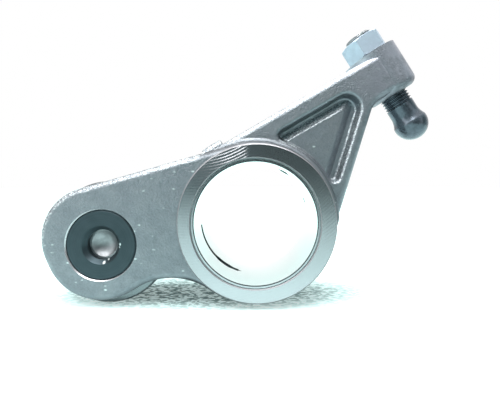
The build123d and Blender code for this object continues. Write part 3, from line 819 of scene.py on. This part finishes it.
        # Tools have worn the screw's top bare
        bare = add_node(tree, "MapRange", {0: above, 1: top - 3 * MM, 2: top - 1 * MM, 3: 0.0, 4: 1.0})
        finish = add_node(
            tree, "Mix", {0: bare, MIX_A: finish, MIX_B: colours.plug}, out=MIXED, data_type="RGBA"
        )
        rough = add_node(tree, "MapRange", {0: cloud, 1: 0.3, 2: 0.7, 3: 0.16, 4: 0.26})
        bump = add_node(tree, "Bump", {"Strength": 0.15, "Distance": 0.03 * MM, "Height": cloud})
        shader = add_node(
            tree,
            "BsdfPrincipled",
            {"Base Color": finish, "Metallic": 0.6, "Roughness": rough, "Normal": bump},
        )
        add_node(tree, "OutputMaterial", {"Surface": shader})
        screw.data.materials.clear()
        screw.data.materials.append(material)
        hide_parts("adjusting_screw")
        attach(screw, "screw")
        return {"FINISHED"}


class ROCKER_OT_nut(bpy.types.Operator):
    """Finishes the zinc-plated lock nut"""

    bl_idname = "rocker.nut"
    bl_label = "Lock nut"

    def execute(self, context):
        colours = context.scene.rocker_colours
        # Bright zinc plating: pale blue-white, faintly clouded, over cold-formed flats
        material, tree, place = new_material("bright_zinc_plating")
        cloud_width = 4 * MM
        # The grit under the plating is finer; it is drawn half a millimetre wide, so that it shows
        grit_width = 0.5 * MM
        cloud = add_node(
            tree,
            "TexNoise",
            {"Vector": place, "Scale": 1 / cloud_width, "Detail": 5.0, "Roughness": 0.6},
        )
        shade = add_node(tree, "MapRange", {0: cloud, 1: 0.3, 2: 0.7, 3: 0.9, 4: 1.05})
        finish = add_node(tree, "VectorMath", {0: colours.zinc[:3], "Scale": shade}, operation="SCALE")
        rough = add_node(tree, "MapRange", {0: cloud, 1: 0.3, 2: 0.7, 3: 0.62, 4: 0.5})
        grit = add_node(tree, "TexNoise", {"Vector": place, "Scale": 1 / grit_width, "Detail": 2.0})
        bump = add_node(tree, "Bump", {"Strength": 0.4, "Distance": 0.02 * MM, "Height": grit})
        shader = add_node(
            tree,
            "BsdfPrincipled",
            {"Base Color": finish, "Metallic": 0.8, "Roughness": rough, "Normal": bump},
        )
        add_node(tree, "OutputMaterial", {"Surface": shader})
        dress(material, "lock_nut")
        return {"FINISHED"}


class ROCKER_OT_stage(bpy.types.Operator):
    """Sets the floor, the soft lamps, the pale surroundings and the camera"""

    bl_idname = "rocker.stage"
    bl_label = "Studio"

    def lay_floor(self, colours):
        """Seamless pale paper: it glows for the camera and in the metal, keeps the shadow, and carries a
        painted shadow round the part.
        """
        only_object()
        bpy.ops.mesh.primitive_grid_add(
            x_subdivisions=8, y_subdivisions=8, size=5, location=(0, 2, FLOOR_LEVEL)
        )
        floor = bpy.context.object
        floor.name = "floor"
        bpy.ops.object.transform_apply(location=True, rotation=True, scale=True)
        material, tree, place = new_material("seamless_paper")
        # The paper's nap is finer than this; it is drawn coarse, so that it shows
        nap_width = 1.8 * MM
        drawn_out = add_node(tree, "VectorMath", {0: place, 1: (0.6, 1, 1)}, operation="MULTIPLY")
        fibres = add_node(
            tree,
            "TexNoise",
            {"Vector": drawn_out, "Scale": 1 / nap_width, "Detail": 3.0, "Distortion": 0.4},
        )
        # A painted shadow lies close round the part, in an oval about three times as long as it is deep
        oval = add_node(tree, "VectorMath", {0: place, 1: (1.2, 3.5, 1)}, operation="MULTIPLY")
        middle = Vector((-30 * MM, 21 * MM, FLOOR_LEVEL))
        away = add_node(tree, "VectorMath", {0: oval, 1: middle}, out="Value", operation="DISTANCE")
        # nap sets the painted shadow's depth, darkest at the middle of the oval
        nap = add_node(tree, "MapRange", {0: away, 1: 50 * MM, 2: 110 * MM, 3: 0.3, 4: 0.97})
        shade = add_node(tree, "MapRange", {0: fibres, 1: 0.46, 2: 0.54, 3: nap, 4: 1.0})
        # The hollows of the nap, and the painted shadow with them, are greener than its tips
        hue = add_node(
            tree, "Mix", {0: shade, MIX_A: colours.hollow, MIX_B: WHITE}, out=MIXED, data_type="RGBA"
        )
        tint = add_node(tree, "VectorMath", {0: hue, 1: colours.paper[:3]}, operation="MULTIPLY")
        tint = add_node(tree, "VectorMath", {0: tint, "Scale": shade}, operation="SCALE")
        paper = add_node(tree, "BsdfDiffuse", {"Color": tint})
        # It glows for the camera and in the metal, where the glow fades out in front of the part; round
        # the part the glow is dimmed into the painted shadow
        glow = add_node(tree, "MapRange", {0: away, 1: 50 * MM, 2: 150 * MM, 3: 0.38, 4: 1.0})
        glow = add_node(tree, "Math", {0: glow, 1: shade}, operation="MULTIPLY")
        y = add_node(tree, "SeparateXYZ", {0: place}, out="Y")
        not_in_front = add_node(tree, "MapRange", {0: y, 1: -110 * MM, 2: 20 * MM, 3: 0.0, 4: 1.0})
        camera_ray = add_node(tree, "LightPath", out="Is Camera Ray")
        glossy_ray = add_node(tree, "LightPath", out="Is Glossy Ray")
        in_metal = add_node(tree, "Math", {0: glossy_ray, 1: not_in_front}, operation="MULTIPLY")
        seen = add_node(tree, "Math", {0: camera_ray, 1: in_metal}, operation="MAXIMUM")
        strength = add_node(tree, "Math", {0: glow, 1: seen}, operation="MULTIPLY")
        tint = add_node(tree, "VectorMath", {0: hue, 1: colours.floor[:3]}, operation="MULTIPLY")
        light = add_node(tree, "Emission", {"Color": tint, "Strength": strength})
        surface = add_node(tree, "AddShader", {0: paper, 1: light})
        add_node(tree, "OutputMaterial", {"Surface": surface})
        floor.data.materials.append(material)

    def hang_lamp(self, name, place, width, height, power):
        """A soft area lamp that faces the middle of the part."""
        lamp = bpy.data.objects.new(name, bpy.data.lights.new(name, "AREA"))
        lamp.data.shape = "RECTANGLE"
        lamp.data.size = width
        lamp.data.size_y = height
        lamp.data.energy = power
        lamp.location = place
        lamp.rotation_euler = (-Vector(place)).to_track_quat("-Z", "Y").to_euler()
        bpy.context.scene.collection.objects.link(lamp)

    def surround(self, scene, colours):
        """Pale surroundings, brightest overhead and behind the part, and dark behind the camera."""
        world = bpy.data.worlds.new("pale_room")
        scene.world = world
        world.use_nodes = True
        tree = world.node_tree
        tree.nodes.clear()
        direction = add_node(tree, "TexCoord", out="Generated")
        x, y, z = (add_node(tree, "SeparateXYZ", {0: direction}, out=axis) for axis in "XYZ")
        from_left = add_node(tree, "Math", {0: x, 1: -0.4, 2: y}, operation="MULTIPLY_ADD")
        behind_part = add_node(tree, "MapRange", {0: from_left, 1: -0.75, 2: 0.1, 3: 0.03, 4: 1.0})
        overhead = add_node(tree, "MapRange", {0: z, 1: 0.35, 2: 0.85, 3: 0.0, 4: 1.2})
        at_left = add_node(tree, "MapRange", {0: x, 1: 0.0, 2: -0.5, 3: 0.02, 4: 0.5})
        brightness = add_node(tree, "Math", {0: behind_part, 1: overhead}, operation="MAXIMUM")
        brightness = add_node(tree, "Math", {0: brightness, 1: at_left}, operation="MAXIMUM")
        seen = add_node(tree, "LightPath", out="Is Camera Ray")
        strength = add_node(tree, "Mix", {0: seen, 2: brightness, 3: 1.0}, data_type="FLOAT")
        room = add_node(
            tree, "Mix", {0: strength, MIX_A: colours.room, MIX_B: WHITE}, out=MIXED, data_type="RGBA"
        )
        light = add_node(tree, "Background", {"Color": room, "Strength": strength})
        add_node(tree, "OutputWorld", {"Surface": light})

    def set_camera(self, scene, studio):
        """A camera that looks along the shaft, with the part a little off the middle of its view."""
        frame_width = 500
        camera = bpy.data.objects.new("camera", bpy.data.cameras.new("camera"))
        camera.data.lens = studio.lens
        camera.data.sensor_width = 36
        camera.data.shift_x = -5.6 / frame_width
        camera.data.shift_y = -17 / frame_width
        camera.data.clip_start = 10 * MM
        camera.location = (0, -studio.distance, studio.height)
        camera.rotation_euler = (pi / 2, 0, 0)
        scene.collection.objects.link(camera)
        scene.camera = camera

    def execute(self, context):
        scene = context.scene
        studio = scene.rocker_studio
        self.lay_floor(scene.rocker_colours)
        self.hang_lamp("overhead_lamp", (-0.05, -0.1, 0.5), 0.45, 0.8, studio.top_power)
        self.hang_lamp("front_lamp", (-0.32, -0.3, 0.38), 0.5, 0.4, studio.front_power)
        self.hang_lamp("left_lamp", (-0.42, -0.3, 0.15), 0.2, 0.4, studio.left_power)
        self.hang_lamp("right_lamp", (0.42, -0.3, 0.15), 0.2, 0.4, studio.right_power)
        self.surround(scene, scene.rocker_colours)
        self.set_camera(scene, studio)
        scene.view_settings.view_transform = "Standard"
        return {"FINISHED"}


class ROCKER_PT_panel(bpy.types.Panel):
    """Lists the steps that dress the rocker arm"""

    bl_idname = "ROCKER_PT_panel"
    bl_label = "Rocker arm"
    bl_space_type = "VIEW_3D"
    bl_region_type = "UI"
    bl_category = "Rocker arm"

    def draw(self, context):
        for operator in OPERATORS:
            self.layout.operator(operator.bl_idname)
        for group in GROUPS:
            settings = getattr(context.scene, group)
            column = self.layout.column(heading=settings.bl_rna.name)
            for name in settings.__annotations__:
                column.prop(settings, name)


GROUPS = {
    "rocker_colours": RockerColours,
    "rocker_sizes": RockerSizes,
    "rocker_studio": RockerStudio,
}
OPERATORS = (
    ROCKER_OT_arm,
    ROCKER_OT_shaft_bush,
    ROCKER_OT_pin,
    ROCKER_OT_roller,
    ROCKER_OT_screw,
    ROCKER_OT_nut,
    ROCKER_OT_stage,
)


def register():
    for name, group in GROUPS.items():
        bpy.utils.register_class(group)
        setattr(bpy.types.Scene, name, PointerProperty(type=group))
    for operator in OPERATORS:
        bpy.utils.register_class(operator)
    bpy.utils.register_class(ROCKER_PT_panel)


def unregister():
    bpy.utils.unregister_class(ROCKER_PT_panel)
    for operator in reversed(OPERATORS):
        bpy.utils.unregister_class(operator)
    for name, group in GROUPS.items():
        delattr(bpy.types.Scene, name)
        bpy.utils.unregister_class(group)


def main():
    register()
    bpy.ops.rocker.arm()
    bpy.ops.rocker.shaft_bush()
    bpy.ops.rocker.pin()
    bpy.ops.rocker.roller()
    bpy.ops.rocker.screw()
    bpy.ops.rocker.nut()
    bpy.ops.rocker.stage()


if __name__ == "__main__":
    main()
